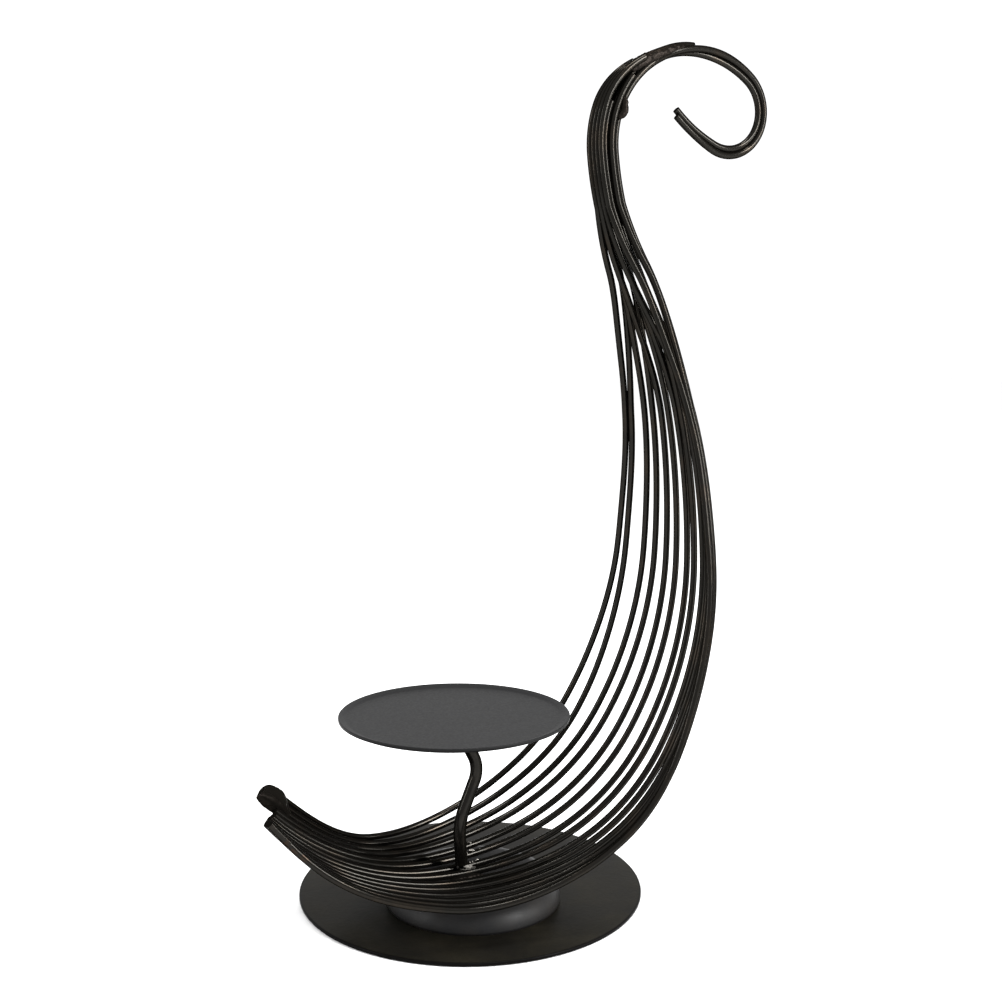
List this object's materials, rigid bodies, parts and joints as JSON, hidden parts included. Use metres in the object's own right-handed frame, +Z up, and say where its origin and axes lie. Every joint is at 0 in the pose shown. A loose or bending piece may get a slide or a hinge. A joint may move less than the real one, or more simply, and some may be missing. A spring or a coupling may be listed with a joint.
{
  "type": "tea light holder",
  "caption": "Wrought iron tea light holder: a fan of bent rods swells up like a harp from a round base and gathers into a curled hook, with a round dish for the light on a bent stem",
  "frame": {"origin": "centre of the base plate's underside, on the surface that it stands on", "axes": "+Z up; +X from the harp's tail towards its belly and hook; +Y away from the side that the picture shows; the harp stands off centre, in the plane Y = -12.5 mm"},
  "size_m": [0.2267, 0.14, 0.3437],
  "materials": {
    "rod_iron": "satin, near-black bronze brown",
    "base_iron": "satin, dark grey with a warm, uneven cast",
    "dome_iron": "satin, near-black",
    "dish_iron": "matt, even dark grey",
    "weld_iron": "satin, near-black, slightly rough"
  },
  "bodies": {
    "root": {"base_plate": "base_iron", "base_dome": "dome_iron", "candle_dish": "dish_iron", "stem_rod": "rod_iron", "harp_rod_01": "rod_iron", "harp_rod_02": "rod_iron", "harp_rod_03": "rod_iron", "harp_rod_04": "rod_iron", "harp_rod_05": "rod_iron", "harp_rod_06": "rod_iron", "harp_rod_07": "rod_iron", "hook_rod_08": "rod_iron", "harp_rod_09": "rod_iron", "harp_rod_10": "rod_iron", "hook_rod_11": "rod_iron", "harp_rod_12": "rod_iron", "harp_rod_13": "rod_iron", "harp_rod_14": "rod_iron", "tail_weld": "weld_iron", "keel_weld_far": "weld_iron", "keel_weld_near": "weld_iron", "stem_foot_weld": "weld_iron", "stem_head_weld": "weld_iron", "crown_weld": "weld_iron", "neck_knob": "weld_iron"}
  },
  "joints": []
}
